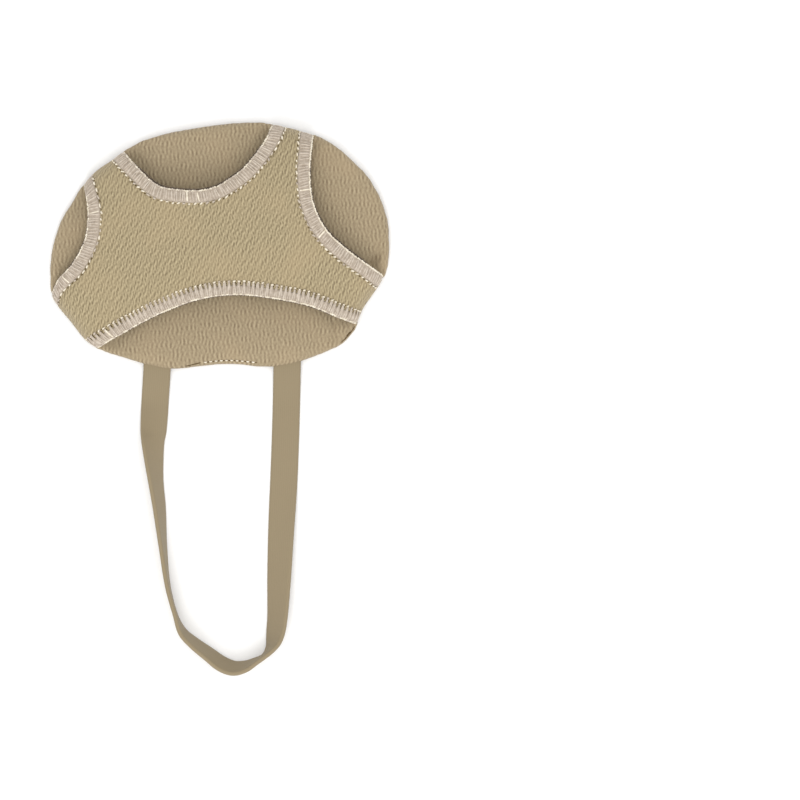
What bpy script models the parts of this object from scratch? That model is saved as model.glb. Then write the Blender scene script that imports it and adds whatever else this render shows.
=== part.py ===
"""Ball-of-foot pad with an arched knit band on top and an elastic heel strap, lying flat on its sole.

X runs from the little toe to the big toe, Y from the heel to the toes and Z up.
"""

import math
from bisect import bisect
from collections import namedtuple

import bmesh
import bpy
from mathutils import Vector

# Lengths are in millimetres and angles in degrees. Objects are built in metres.
MM = 0.001
GAP = 0.3

# Sole pad
PAD_WIDTH = 102.0
PAD_DEPTH = 73.8
PAD_THICKNESS = 5.0
RIM_THICKNESS = 3.4
LEG_DENT = 1.0
DENT_BLEND = 7.0
CROWN_POWER = 3.0

# Top band
BAND_WALL = 1.0
SEAM_HEIGHT = 3.0
SHOULDER_RUN = 4.0
SHOULDER_RISE = 3.8
ARCH_RISE = 6.4
ARCH_POWER = 2.8

# Edgings, each folded round a cut edge of the band
EDGING_WIDTH = 4.1
EDGING_SKIN = 0.4
EDGING_TURN = 1.6
EDGING_BLEND = 9.0

# Heel strap
STRAP_WIDTH = 8.2
STRAP_THICKNESS = 1.2
STRAP_REACH = 92.8
STRAP_LEFT_TURN = 242.9
STRAP_RIGHT_TURN = 299.6
STRAP_SEAT = 6.0
STRAP_DESCENT = 12.0

# How finely the pieces are divided
PAD_SIDES = 88
BAND_SIDES = 120
EDGE_STEPS = 26
RIM_STEPS = 12
EDGING_STEPS = 28
STRAP_STEPS_PER_BEND = 3

# The outline: reach is the share of the ellipse that PAD_WIDTH and PAD_DEPTH give
Rim = namedtuple("Rim", "turn reach")
RIM = (
    Rim(0, 0.997),
    Rim(17, 1.022),
    Rim(43, 1.060),
    Rim(55, 1.055),
    Rim(65, 1.040),
    Rim(78, 1.011),
    Rim(99, 0.974),
    Rim(123, 0.964),
    Rim(142, 0.947),
    Rim(150, 0.952),
    Rim(162, 0.934),
    Rim(172, 0.955),
    Rim(181, 0.980),
    Rim(190, 1.022),
    Rim(198, 1.070),
    Rim(207, 1.076),
    Rim(217, 1.108),
    Rim(224, 1.084),
    Rim(232, 1.066),
    Rim(244, 1.052),
    Rim(252, 1.027),
    Rim(261, 0.990),
    Rim(270, 0.967),
    Rim(280, 0.975),
    Rim(297, 1.042),
    Rim(313, 1.065),
    Rim(321, 1.073),
    Rim(329, 1.042),
    Rim(336, 0.995),
    Rim(342, 0.990),
    Rim(349, 1.003),
)

# The cutouts, anticlockwise: across and along are shares of half the pad's width and depth
Cut = namedtuple("Cut", "name start_turn end_turn edge")
Edge = namedtuple("Edge", "across along")
Station = namedtuple("Station", "share place square rim_way hold")
CUTS = (
    Cut(
        "big_toe_edging",
        -10.3,
        49.3,
        (
            Edge(0.862, -0.150),
            Edge(0.738, -0.024),
            Edge(0.621, 0.138),
            Edge(0.550, 0.350),
            Edge(0.532, 0.577),
            Edge(0.541, 0.780),
        ),
    ),
    Cut(
        "middle_toes_edging",
        66.0,
        135.8,
        (
            Edge(0.279, 0.862),
            Edge(0.226, 0.748),
            Edge(0.150, 0.622),
            Edge(0.062, 0.528),
            Edge(-0.026, 0.463),
            Edge(-0.144, 0.437),
            Edge(-0.332, 0.467),
            Edge(-0.409, 0.537),
            Edge(-0.521, 0.695),
        ),
    ),
    Cut(
        "little_toe_edging",
        156.0,
        195.7,
        (
            Edge(-0.771, 0.398),
            Edge(-0.762, 0.252),
            Edge(-0.771, 0.089),
            Edge(-0.797, -0.016),
            Edge(-0.850, -0.146),
            Edge(-0.932, -0.276),
        ),
    ),
    Cut(
        "instep_edging",
        219.8,
        330.3,
        (
            Edge(-0.585, -0.724),
            Edge(-0.409, -0.593),
            Edge(-0.232, -0.488),
            Edge(-0.085, -0.427),
            Edge(0.091, -0.398),
            Edge(0.297, -0.423),
            Edge(0.532, -0.488),
            Edge(0.709, -0.585),
        ),
    ),
)

# The strap, from its left end to its right end: across is the share of half the distance between the two
# seats, along is the share of STRAP_REACH, and lean is how far the outer side stands up
Bend = namedtuple("Bend", "across along lean")
STRAP_BENDS = (
    Bend(-1.031, 0.108, 0),
    Bend(-1.054, 0.205, 20),
    Bend(-1.061, 0.244, 38),
    Bend(-1.046, 0.302, 52),
    Bend(-1.015, 0.373, 64),
    Bend(-0.962, 0.457, 70),
    Bend(-0.908, 0.577, 81),
    Bend(-0.831, 0.709, 88),
    Bend(-0.709, 0.806, 89),
    Bend(-0.602, 0.858, 79),
    Bend(-0.418, 0.895, 72),
    Bend(-0.203, 0.929, 67),
    Bend(-0.004, 0.960, 63),
    Bend(0.180, 0.974, 65),
    Bend(0.364, 0.968, 73),
    Bend(0.517, 0.952, 82),
    Bend(0.640, 0.937, 86),
    Bend(0.732, 0.914, 76),
    Bend(0.793, 0.887, 60),
    Bend(0.828, 0.855, 50),
    Bend(0.854, 0.806, 45),
    Bend(0.877, 0.690, 33),
    Bend(0.908, 0.534, 20),
    Bend(0.946, 0.379, 3),
    Bend(0.977, 0.205, 0),
)

# Finishes: colour as sRGB, then roughness
Finish = namedtuple("Finish", "colour roughness")
PAD_FINISH = Finish("AE9F84", 0.95)
BAND_FINISH = Finish("B5A684", 0.95)
EDGING_FINISH = Finish("CBBDAA", 0.85)
STRAP_FINISH = Finish("A5977A", 0.9)


def ease(share):
    """A smooth step from 0 to 1 as the share goes from 0 to 1."""
    share = min(max(share, 0.0), 1.0)
    return share * share * (3 - 2 * share)


def follow(stations, rows, at):
    """Every column of the rows, read at a station on a smooth curve through them."""
    last = len(stations) - 1
    before = min(max(bisect(stations, at) - 1, 0), last - 1)
    span = stations[before + 1] - stations[before]
    share = (at - stations[before]) / span

    def slope(index, column):
        low = max(index - 1, 0)
        high = min(index + 1, last)
        return (rows[high][column] - rows[low][column]) / (stations[high] - stations[low])

    values = []
    for column in range(len(rows[0])):
        start = rows[before][column]
        end = rows[before + 1][column]
        start_slope = slope(before, column) * span
        end_slope = slope(before + 1, column) * span
        cubic = 2 * start - 2 * end + start_slope + end_slope
        square = 3 * end - 3 * start - 2 * start_slope - end_slope
        values.append(((cubic * share + square) * share + start_slope) * share + start)
    return values


def lengths_along(points):
    """The distance from the first point to each point, along straight lines between them."""
    stations = [0.0]
    for before, after in zip(points, points[1:]):
        stations.append(stations[-1] + math.dist(before[:2], after[:2]))
    return stations


def on_pad(spot):
    """The place of a spot that is given in shares of half the pad's width and depth."""
    return Vector((spot.across * PAD_WIDTH / 2, spot.along * PAD_DEPTH / 2))


def turn_of(point):
    return math.degrees(math.atan2(point[1], point[0]))


def rim_radius(turn):
    """The distance from the pad's middle to its outline."""
    around = [row._replace(turn=row.turn - 360) for row in RIM[-3:]]
    around += RIM
    around += [row._replace(turn=row.turn + 360) for row in RIM[:3]]
    reach = follow([row.turn for row in around], around, turn % 360)[1]
    across = math.cos(math.radians(turn)) / (PAD_WIDTH / 2)
    along = math.sin(math.radians(turn)) / (PAD_DEPTH / 2)
    return reach / math.hypot(across, along)


def rim_point(turn, inset=0.0):
    radius = rim_radius(turn) - inset
    return Vector((radius * math.cos(math.radians(turn)), radius * math.sin(math.radians(turn))))


def leg_press(turn):
    """1 where a leg of the band crosses the rim, and 0 in the cutouts."""
    press = 0.0
    for cut, following in zip(CUTS, CUTS[1:] + CUTS[:1]):
        middle = (cut.end_turn + (following.start_turn - cut.end_turn) % 360 / 2) % 360
        half = (following.start_turn - cut.end_turn) % 360 / 2
        away = abs((turn - middle + 180) % 360 - 180)
        press = max(press, ease(1 - (away - half) / DENT_BLEND))
    return press


def band_inset():
    """How far the band's middle surface lies inside the outline, so that its edgings end flush with it."""
    return BAND_WALL / 2 + GAP + EDGING_SKIN


def band_place(turn, run):
    """A place on the band's middle surface: run is 0 at the seam and a quarter turn at the shoulder's top."""
    edge = rim_radius(turn) - band_inset()
    over = max(run - math.pi / 2, 0.0)
    run = min(run, math.pi / 2)
    depth = SHOULDER_RUN * (1 - math.cos(run) + over)
    share = max(1 - depth / edge, 0.0)
    height = SEAM_HEIGHT + SHOULDER_RISE * math.sin(run) + ARCH_RISE * (1 - share**ARCH_POWER)
    radius = edge * share
    return Vector((radius * math.cos(math.radians(turn)), radius * math.sin(math.radians(turn)), height))


def band_point(spot, offset=0.0):
    """The place over a plan spot, raised from the band's middle surface along its normal."""
    turn = turn_of(spot)
    depth = max(rim_radius(turn) - band_inset() - spot.length, 0.0) / SHOULDER_RUN
    run = math.acos(1 - depth) if depth < 1 else math.pi / 2 + depth - 1
    step = 0.01
    around = band_place(turn + step, run) - band_place(turn - step, run)
    inward = band_place(turn, run + step) - band_place(turn, max(run - step, 0.0))
    return band_place(turn, run) + around.cross(inward).normalized() * offset


def cut_line(cut):
    """The corner points of a cutout's edge in plan, with its ends on the band's outline."""
    line = [rim_point(cut.start_turn, band_inset())]
    line += [on_pad(spot) for spot in cut.edge]
    line.append(rim_point(cut.end_turn, band_inset()))
    return line


def along_cut(cut, steps):
    """Places along a cutout's edge in plan, closest together at its ends, each as a Station."""
    line = cut_line(cut)
    stations = lengths_along(line)
    length = stations[-1]
    rows = []
    for index in range(steps + 1):
        share = (1 - math.cos(math.pi * index / steps)) / 2
        at = length * share
        place = Vector(follow(stations, line, at))
        ahead = Vector(follow(stations, line, min(at + MM, length)))
        behind = Vector(follow(stations, line, max(at - MM, 0.0)))
        tangent = (ahead - behind).normalized()
        square = Vector((-tangent.y, tangent.x))
        rim_way = -1 if share < 0.5 else 1
        hold = 1 - ease(min(at, length - at) / EDGING_BLEND)
        rows.append(Station(share, place, square, rim_way, hold))
    return rows


def inside_cut(station, inward):
    """A plan spot inside the band: square to the edge, or along the rim where the edge meets it."""
    straight = station.place + station.square * inward
    turn = turn_of(station.place)
    depth = rim_radius(turn) - station.place.length
    turn += station.rim_way * math.degrees(inward / station.place.length)
    return straight.lerp(rim_point(turn, depth), station.hold)


def loft(name, rings, finish, cap_first=True):
    """An object whose surface runs through rings that all have the same number of points."""
    mesh = bpy.data.meshes.new(name)
    build = bmesh.new()
    made = bmesh.ops.create_circle(build, segments=len(rings[0]), radius=1.0, cap_ends=cap_first)
    loop = made["verts"]
    for vert, point in zip(loop, rings[0]):
        vert.co = Vector(point) * MM
    for ring in rings[1:]:
        edges = [build.edges.get((vert, loop[index - 1])) for index, vert in enumerate(loop)]
        grown = {}
        for vert in loop:
            grown[vert] = build.verts.new(vert.co)
        for edge in edges:
            first, second = edge.verts
            build.faces.new((first, second, grown[second], grown[first]))
        loop = [grown[vert] for vert in loop]
        for vert, point in zip(loop, ring):
            vert.co = Vector(point) * MM
    build.faces.new(loop)
    bmesh.ops.recalc_face_normals(build, faces=build.faces)
    if build.calc_volume(signed=True) < 0:
        bmesh.ops.reverse_faces(build, faces=build.faces)
    for face in build.faces:
        face.smooth = True
    build.to_mesh(mesh)
    build.free()
    mesh.materials.append(material(name, finish))
    made_object = bpy.data.objects.new(name, mesh)
    return made_object


def material(name, finish):
    made = bpy.data.materials.new(name)
    made.use_nodes = True
    shader = made.node_tree.nodes["Principled BSDF"]
    channels = [int(finish.colour[start : start + 2], 16) / 255 for start in (0, 2, 4)]
    linear = [((value + 0.055) / 1.055) ** 2.4 for value in channels]
    shader.inputs["Base Color"].default_value = (*linear, 1.0)
    shader.inputs["Roughness"].default_value = finish.roughness
    return made


def pad_top(share, rim):
    """The height of the pad's top at a share of the way from its middle to the rim."""
    return rim + (PAD_THICKNESS - rim) * (1 - share**CROWN_POWER)


def build_pad():
    """A flat underside, a rolled rim that dips under the band's legs, and a gently crowned top."""
    roll_angles = [-90, -55, -25, 0, 25, 55, 90]
    top_shares = [0.90, 0.82, 0.70, 0.52, 0.32, 0.12]
    turns = [360 * index / PAD_SIDES for index in range(PAD_SIDES)]
    rings = []
    for angle in roll_angles:
        ring = []
        for turn in turns:
            roll = (RIM_THICKNESS - LEG_DENT * leg_press(turn)) / 2
            inset = roll * (1 - math.cos(math.radians(angle)))
            place = rim_point(turn, inset)
            ring.append((place.x, place.y, roll * (1 + math.sin(math.radians(angle)))))
        rings.append(ring)
    for share in top_shares:
        ring = []
        for turn in turns:
            rim = RIM_THICKNESS - LEG_DENT * leg_press(turn)
            inner = rim_radius(turn) - rim / 2
            place = rim_point(turn, rim / 2 + inner * (1 - share))
            ring.append((place.x, place.y, pad_top(share, rim)))
        rings.append(ring)
    return loft("sole_pad", rings, PAD_FINISH)


def strap_seats():
    """The plan places where the strap's two ends cross the pad's outline."""
    return rim_point(STRAP_LEFT_TURN), rim_point(STRAP_RIGHT_TURN)


def cut_strap_slots(pad, cutters):
    """Two slots in the pad's rear rim, each a gap wider than the strap end inside it."""
    for seat in strap_seats():
        bpy.ops.mesh.primitive_cube_add(size=1.0)
        cutter = bpy.context.object
        cutter.name = "strap_slot_cutter"
        length = 2 * (STRAP_SEAT + GAP)
        height = STRAP_THICKNESS + 2 * GAP
        cutter.location = (seat.x * MM, seat.y * MM, RIM_THICKNESS / 2 * MM)
        cutter.scale = ((STRAP_WIDTH + 2 * GAP) * MM, length * MM, height * MM)
        take_away(pad, cutter, cutters)


def take_away(piece, cutter, cutters):
    """Cuts the cutter's shape out of the piece, and keeps the cutter out of the render."""
    for holder in cutter.users_collection:
        holder.objects.unlink(cutter)
    cutters.objects.link(cutter)
    cutter.hide_render = True
    cutter.display_type = "WIRE"
    cut = piece.modifiers.new(cutter.name, "BOOLEAN")
    cut.operation = "DIFFERENCE"
    cut.solver = "EXACT"
    cut.object = cutter


def build_band(cutters):
    """A knit dome over the whole pad, cut away at the toes and the instep so that four legs are left."""
    shoulder_runs = (0.0, 0.4, 0.8, 1.2, math.pi / 2)
    inner_shares = (0.86, 0.70, 0.52, 0.32, 0.12)
    turns = [360 * index / BAND_SIDES for index in range(BAND_SIDES)]
    rings = [[band_place(turn, run) for turn in turns] for run in shoulder_runs]
    for share in inner_shares:
        shoulder = band_inset() + SHOULDER_RUN
        rings.append([band_point(rim_point(turn, shoulder) * share) for turn in turns])
    band = loft("top_band", rings, BAND_FINISH, cap_first=False)
    wall = band.modifiers.new("wall", "SOLIDIFY")
    wall.thickness = BAND_WALL * MM
    wall.offset = 0.0
    for cut in CUTS:
        take_away(band, cutout_prism(cut), cutters)
    return band


def cutout_prism(cut):
    """An upright prism from a cutout's edge, set back under its edging, to outside the rim."""
    line = [inside_cut(station, EDGING_TURN) for station in along_cut(cut, EDGE_STEPS)]
    first, last = turn_of(line[0]), turn_of(line[-1])
    sweep = (last - first) % 360
    outside = [rim_point(last - sweep * step / RIM_STEPS, -PAD_THICKNESS) for step in range(RIM_STEPS + 1)]
    outline = line + outside
    above = SEAM_HEIGHT + SHOULDER_RISE + ARCH_RISE + PAD_THICKNESS
    rings = [[(spot.x, spot.y, height) for spot in outline] for height in (-PAD_THICKNESS, above)]
    return loft(cut.name + "_cutter", rings, BAND_FINISH)


def build_edging(cut):
    """A strip folded round the cut edge: its two skins lie a gap above and below the band's wall."""
    skin_face = BAND_WALL / 2 + GAP
    outer_face = skin_face + EDGING_SKIN
    fold = EDGING_SKIN + GAP
    across = [EDGING_WIDTH * share for share in (1.0, 0.73, 0.46)]
    section = [(inward, outer_face) for inward in across + [fold]]
    section += [(fold * 0.3, outer_face * 0.7), (0.0, 0.0), (fold * 0.3, -outer_face * 0.7)]
    section += [(inward, -outer_face) for inward in [fold] + across[::-1]]
    section += [(inward, -skin_face) for inward in across + [EDGING_SKIN]]
    section += [(inward, skin_face) for inward in [EDGING_SKIN] + across[::-1]]
    rings = []
    for station in along_cut(cut, EDGING_STEPS):
        rings.append([band_point(inside_cut(station, inward), offset) for inward, offset in section])
    return loft(cut.name, rings, EDGING_FINISH)


def strap_path():
    """Rows of plan place and lean along the strap, from inside one slot to inside the other."""
    left, right = strap_seats()
    middle = (left + right) / 2
    half = (right.x - left.x) / 2
    rows = [(left.x, left.y + STRAP_SEAT, 0.0), (left.x, left.y, 0.0)]
    for bend in STRAP_BENDS:
        rows.append((middle.x + bend.across * half, middle.y - bend.along * STRAP_REACH, bend.lean))
    rows += [(right.x, right.y, 0.0), (right.x, right.y + STRAP_SEAT, 0.0)]
    return rows


def build_strap():
    """A flat ribbon whose lower side lies on the ground, leaning up where it turns at the heel."""
    rows = strap_path()
    stations = lengths_along(rows)
    seat_lift = (RIM_THICKNESS - STRAP_THICKNESS) / 2
    flat = STRAP_WIDTH / 2
    half = STRAP_THICKNESS / 2
    corner = STRAP_THICKNESS / 4
    section = (
        (flat, half - corner),
        (flat - corner, half),
        (corner - flat, half),
        (-flat, half - corner),
        (-flat, corner - half),
        (corner - flat, -half),
        (flat - corner, -half),
        (flat, corner - half),
    )
    rings = []
    for index in range(len(rows) - 1):
        steps = STRAP_STEPS_PER_BEND
        if index == len(rows) - 2:
            steps += 1
        for step in range(steps):
            at = stations[index] + (stations[index + 1] - stations[index]) * step / STRAP_STEPS_PER_BEND
            x, y, lean = follow(stations, rows, at)
            ahead = follow(stations, rows, min(at + MM, stations[-1]))
            behind = follow(stations, rows, max(at - MM, 0.0))
            forward = Vector((ahead[0] - behind[0], ahead[1] - behind[1], 0.0)).normalized()
            outward = Vector((forward.y, -forward.x, 0.0))
            lean = math.radians(max(lean, 0.0))
            up = Vector((0.0, 0.0, 1.0))
            wide = outward * math.cos(lean) + up * math.sin(lean)
            thick = up * math.cos(lean) - outward * math.sin(lean)
            from_seat = min(at, stations[-1] - at) - STRAP_SEAT
            lift = seat_lift * (1 - ease(from_seat / STRAP_DESCENT))
            height = lift + flat * math.sin(lean) + half * math.cos(lean)
            centre = Vector((x, y, height))
            rings.append([centre + wide * across + thick * through for across, through in section])
    return loft("heel_strap", rings, STRAP_FINISH)


def new_collection(name):
    made = bpy.data.collections.new(name)
    bpy.context.scene.collection.children.link(made)
    return made


def main():
    for item in list(bpy.data.objects):
        bpy.data.objects.remove(item, do_unlink=True)
    pieces = new_collection("metatarsal_pad")
    cutters = new_collection("cutters")
    pad = build_pad()
    pieces.objects.link(pad)
    cut_strap_slots(pad, cutters)
    pieces.objects.link(build_band(cutters))
    for cut in CUTS:
        pieces.objects.link(build_edging(cut))
    pieces.objects.link(build_strap())
    cutters.hide_render = True


main()
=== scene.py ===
"""A ball-of-foot pad lying on its sole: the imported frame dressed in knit, overlock thread and elastic.

X runs from the little toe to the big toe, Y from the heel to the toes and Z up.
"""

import math
import random
from bisect import bisect
from collections import namedtuple

import bmesh
import bpy
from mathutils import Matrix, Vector, noise


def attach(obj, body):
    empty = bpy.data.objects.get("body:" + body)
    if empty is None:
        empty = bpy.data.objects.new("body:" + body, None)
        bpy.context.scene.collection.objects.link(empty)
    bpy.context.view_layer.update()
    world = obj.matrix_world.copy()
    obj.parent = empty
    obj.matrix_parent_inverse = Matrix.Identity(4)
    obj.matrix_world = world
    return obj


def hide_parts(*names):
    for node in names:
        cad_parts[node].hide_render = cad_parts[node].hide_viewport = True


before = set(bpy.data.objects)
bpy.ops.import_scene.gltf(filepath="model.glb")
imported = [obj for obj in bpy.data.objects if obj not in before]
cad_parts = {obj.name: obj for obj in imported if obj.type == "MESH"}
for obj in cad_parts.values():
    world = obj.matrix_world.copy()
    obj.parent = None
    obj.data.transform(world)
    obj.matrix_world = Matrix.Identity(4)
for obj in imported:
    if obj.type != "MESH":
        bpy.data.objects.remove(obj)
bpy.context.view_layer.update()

# Lengths are in millimetres and angles in degrees. Meshes are built in metres.
MM = 0.001

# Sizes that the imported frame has
PAD_WIDTH = 102.0
PAD_DEPTH = 73.8
PAD_THICKNESS = 5.0
RIM_THICKNESS = 3.4
LEG_DENT = 1.0
DENT_BLEND = 7.0
CROWN_POWER = 3.0
BAND_INSET = 1.2
SEAM_HEIGHT = 3.0
SHOULDER_RUN = 4.0
SHOULDER_RISE = 3.8
ARCH_RISE = 6.4
ARCH_POWER = 2.8
EDGING_BLEND = 9.0
STRAP_WIDTH = 8.2
STRAP_THICKNESS = 1.2
STRAP_REACH = 92.8
STRAP_LEFT_TURN = 242.9
STRAP_RIGHT_TURN = 299.6
STRAP_SEAT = 6.0
STRAP_DESCENT = 12.0

# Cloth and thread
BAND_CLOTH = 0.7
LEG_TUCK = 1.1
TUCK_BLEND = 2.5
RIM_PUFF = 0.25
WRAP_INSET = 0.7
EDGING_TUCK = 0.35
WRAP_HEIGHT = 1.2
WRAP_RUN = 0.5
SWELL_CAP = 0.45
SWELL_FRAMES = 20
PAD_VOXEL = 0.9
THREAD = 0.27

# The edgings: half their thickness, how far their outer edge rounds over, and places in from the cut
EDGING_HALF = 0.66
EDGING_NOSE = 0.62
NEEDLE_ROW = 3.95
BAND_SET_BACK = 1.3
RIBBON_STEP = 0.45
# The dark line of painted contact shadow under each cut edge: the spacing of its points and its radius
UNDER_STEP = 0.6
SHADOW_LINE_RADIUS = 0.28
# A ribbon narrower than this has its threads fanned out from each needle stitch
FANNED_BELOW = 3.0

# The elastic's cords and weft. The real weft is finer, and is drawn coarser here so that it shows
CORD_SPACING = 0.6
WEFT_SPACING = 0.45

# The camera looks straight down on this place, where 240 mm of floor fills the frame
CAMERA_ACROSS = 54.15
CAMERA_ALONG = -46.2
CAMERA_UP = 2000.0
SENSOR_WIDTH = 36.0
FOCAL_LENGTH = 300.0

Rim = namedtuple("Rim", "turn reach")
RIM = (
    Rim(0, 0.997),
    Rim(17, 1.022),
    Rim(43, 1.060),
    Rim(55, 1.055),
    Rim(65, 1.040),
    Rim(78, 1.011),
    Rim(99, 0.974),
    Rim(123, 0.964),
    Rim(142, 0.947),
    Rim(150, 0.952),
    Rim(162, 0.934),
    Rim(172, 0.955),
    Rim(181, 0.980),
    Rim(190, 1.022),
    Rim(198, 1.070),
    Rim(207, 1.076),
    Rim(217, 1.108),
    Rim(224, 1.084),
    Rim(232, 1.066),
    Rim(244, 1.052),
    Rim(252, 1.027),
    Rim(261, 0.990),
    Rim(270, 0.967),
    Rim(280, 0.975),
    Rim(297, 1.042),
    Rim(313, 1.065),
    Rim(321, 1.073),
    Rim(329, 1.042),
    Rim(336, 0.995),
    Rim(342, 0.990),
    Rim(349, 1.003),
)

# The cutouts, anticlockwise: stitch is the needle row's pitch, ribbon how far the dense threads reach in
# and shine the share of bright loops on the cut edge, which is painted highlight
Cut = namedtuple("Cut", "name start_turn end_turn stitch ribbon shine edge")
CUTS = (
    Cut(
        "big_toe_edging",
        -10.3,
        49.3,
        1.60,
        3.7,
        0.95,
        (
            (0.862, -0.150),
            (0.738, -0.024),
            (0.621, 0.138),
            (0.550, 0.350),
            (0.532, 0.577),
            (0.541, 0.780),
        ),
    ),
    Cut(
        "middle_toes_edging",
        66.0,
        135.8,
        1.55,
        3.7,
        0.45,
        (
            (0.279, 0.862),
            (0.226, 0.748),
            (0.150, 0.622),
            (0.062, 0.528),
            (-0.026, 0.463),
            (-0.144, 0.437),
            (-0.332, 0.467),
            (-0.409, 0.537),
            (-0.521, 0.695),
        ),
    ),
    Cut(
        "little_toe_edging",
        156.0,
        195.7,
        1.60,
        3.7,
        0.5,
        (
            (-0.771, 0.398),
            (-0.762, 0.252),
            (-0.771, 0.089),
            (-0.797, -0.016),
            (-0.850, -0.146),
            (-0.932, -0.276),
        ),
    ),
    Cut(
        "instep_edging",
        219.8,
        330.3,
        1.36,
        2.7,
        0.6,
        (
            (-0.585, -0.724),
            (-0.409, -0.593),
            (-0.232, -0.488),
            (-0.085, -0.427),
            (0.091, -0.398),
            (0.297, -0.423),
            (0.532, -0.488),
            (0.709, -0.585),
        ),
    ),
)

Bend = namedtuple("Bend", "across along lean")
STRAP_BENDS = (
    Bend(-1.031, 0.108, 0),
    Bend(-1.054, 0.205, 20),
    Bend(-1.061, 0.244, 38),
    Bend(-1.046, 0.302, 52),
    Bend(-1.015, 0.373, 64),
    Bend(-0.962, 0.457, 70),
    Bend(-0.908, 0.577, 81),
    Bend(-0.831, 0.709, 88),
    Bend(-0.709, 0.806, 89),
    Bend(-0.602, 0.858, 79),
    Bend(-0.418, 0.895, 72),
    Bend(-0.203, 0.929, 67),
    Bend(-0.004, 0.960, 63),
    Bend(0.180, 0.974, 65),
    Bend(0.364, 0.968, 73),
    Bend(0.517, 0.952, 82),
    Bend(0.640, 0.937, 86),
    Bend(0.732, 0.914, 76),
    Bend(0.793, 0.887, 60),
    Bend(0.828, 0.855, 50),
    Bend(0.854, 0.806, 45),
    Bend(0.877, 0.690, 33),
    Bend(0.908, 0.534, 20),
    Bend(0.946, 0.379, 3),
    Bend(0.977, 0.205, 0),
)


def ease(share):
    """A smooth step from 0 to 1 as the share goes from 0 to 1."""
    share = min(max(share, 0.0), 1.0)
    return share * share * (3 - 2 * share)


def follow(stations, rows, at):
    """Every column of the rows, read at a station on a smooth curve through them."""
    last = len(stations) - 1
    before = min(max(bisect(stations, at) - 1, 0), last - 1)
    span = stations[before + 1] - stations[before]
    share = (at - stations[before]) / span

    def slope(index, column):
        low = max(index - 1, 0)
        high = min(index + 1, last)
        return (rows[high][column] - rows[low][column]) / (stations[high] - stations[low])

    values = []
    for column in range(len(rows[0])):
        start = rows[before][column]
        end = rows[before + 1][column]
        start_slope = slope(before, column) * span
        end_slope = slope(before + 1, column) * span
        cubic = 2 * start - 2 * end + start_slope + end_slope
        square = 3 * end - 3 * start - 2 * start_slope - end_slope
        values.append(((cubic * share + square) * share + start_slope) * share + start)
    return values


def lengths_along(points, axes=2):
    """The distance from the first point to each point, along straight lines between them."""
    stations = [0.0]
    for before, after in zip(points, points[1:]):
        stations.append(stations[-1] + math.dist(before[:axes], after[:axes]))
    return stations


def turn_of(point):
    return math.degrees(math.atan2(point[1], point[0]))


def measured_outline():
    """The distance from the pad's middle to its outline, at every half degree."""
    around = [row._replace(turn=row.turn - 360) for row in RIM[-3:]]
    around += RIM
    around += [row._replace(turn=row.turn + 360) for row in RIM[:3]]
    turns = [row.turn for row in around]
    radii = []
    for half_degree in range(721):
        turn = half_degree / 2
        across = math.cos(math.radians(turn)) / (PAD_WIDTH / 2)
        along = math.sin(math.radians(turn)) / (PAD_DEPTH / 2)
        radii.append(follow(turns, around, turn)[1] / math.hypot(across, along))
    return radii


OUTLINE = measured_outline()


def rim_radius(turn):
    at = turn % 360 * 2
    index = min(int(at), 719)
    return OUTLINE[index] + (OUTLINE[index + 1] - OUTLINE[index]) * (at - index)


def rim_point(turn, inset=0.0):
    radius = rim_radius(turn) - inset
    return Vector((radius * math.cos(math.radians(turn)), radius * math.sin(math.radians(turn))))


def leg_press(turn, blend=DENT_BLEND, inside=0.0):
    """1 where a leg of the band crosses the rim, 0 in the cutouts and as far inside the legs as said."""
    press = 0.0
    for cut, following in zip(CUTS, CUTS[1:] + CUTS[:1]):
        half = (following.start_turn - cut.end_turn) % 360 / 2
        middle = (cut.end_turn + half) % 360
        away = abs((turn - middle + 180) % 360 - 180)
        press = max(press, ease(1 - (away - half + inside) / blend))
    return press


def band_profile(run):
    """Inset and height of the band's cloth: round the rim below WRAP_RUN, then up over the shoulder."""
    if run >= WRAP_RUN:
        over = max(run - math.pi / 2, 0.0)
        run = min(run, math.pi / 2)
        inset = BAND_INSET + SHOULDER_RUN * (1 - math.cos(run) + over)
        return inset, SEAM_HEIGHT + SHOULDER_RISE * math.sin(run)
    share = max(run + 1, 0.0) / (WRAP_RUN + 1)
    end_inset, end_height = band_profile(WRAP_RUN)
    end_slopes = (SHOULDER_RUN * math.sin(WRAP_RUN), SHOULDER_RISE * math.cos(WRAP_RUN))
    start_part = (2 * share - 3) * share * share + 1
    end_part = 1 - start_part
    lead = ((share - 2) * share + 1) * share
    trail = (share - 1) * share * share * (WRAP_RUN + 1)
    inset = start_part * WRAP_INSET + end_part * end_inset + trail * end_slopes[0]
    height = start_part * WRAP_HEIGHT + end_part * end_height + lead * 2.4 + trail * end_slopes[1]
    return inset, height


PROFILE_RUNS = [-1 + (math.pi / 2 + 1) * step / 80 for step in range(81)]
PROFILE = [band_profile(run) for run in PROFILE_RUNS]
PROFILE_INSETS = [row[0] for row in PROFILE]
PROFILE_LENGTHS = lengths_along(PROFILE)


def run_at(inset):
    """The run whose inset is this one."""
    if inset >= PROFILE_INSETS[-1]:
        return math.pi / 2 + (inset - PROFILE_INSETS[-1]) / SHOULDER_RUN
    index = min(max(bisect(PROFILE_INSETS, inset) - 1, 0), len(PROFILE) - 2)
    span = PROFILE_INSETS[index + 1] - PROFILE_INSETS[index]
    share = max(inset - PROFILE_INSETS[index], 0.0) / span
    return PROFILE_RUNS[index] + (PROFILE_RUNS[index + 1] - PROFILE_RUNS[index]) * share


def unrolled(inset):
    """How much longer the cloth is than its plan, from the shoulder's top down to this inset."""
    if inset >= PROFILE_INSETS[-1]:
        return 0.0
    index = min(max(bisect(PROFILE_INSETS, inset) - 1, 0), len(PROFILE) - 2)
    return PROFILE_LENGTHS[-1] - PROFILE_LENGTHS[index] - (PROFILE_INSETS[-1] - inset)


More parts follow.
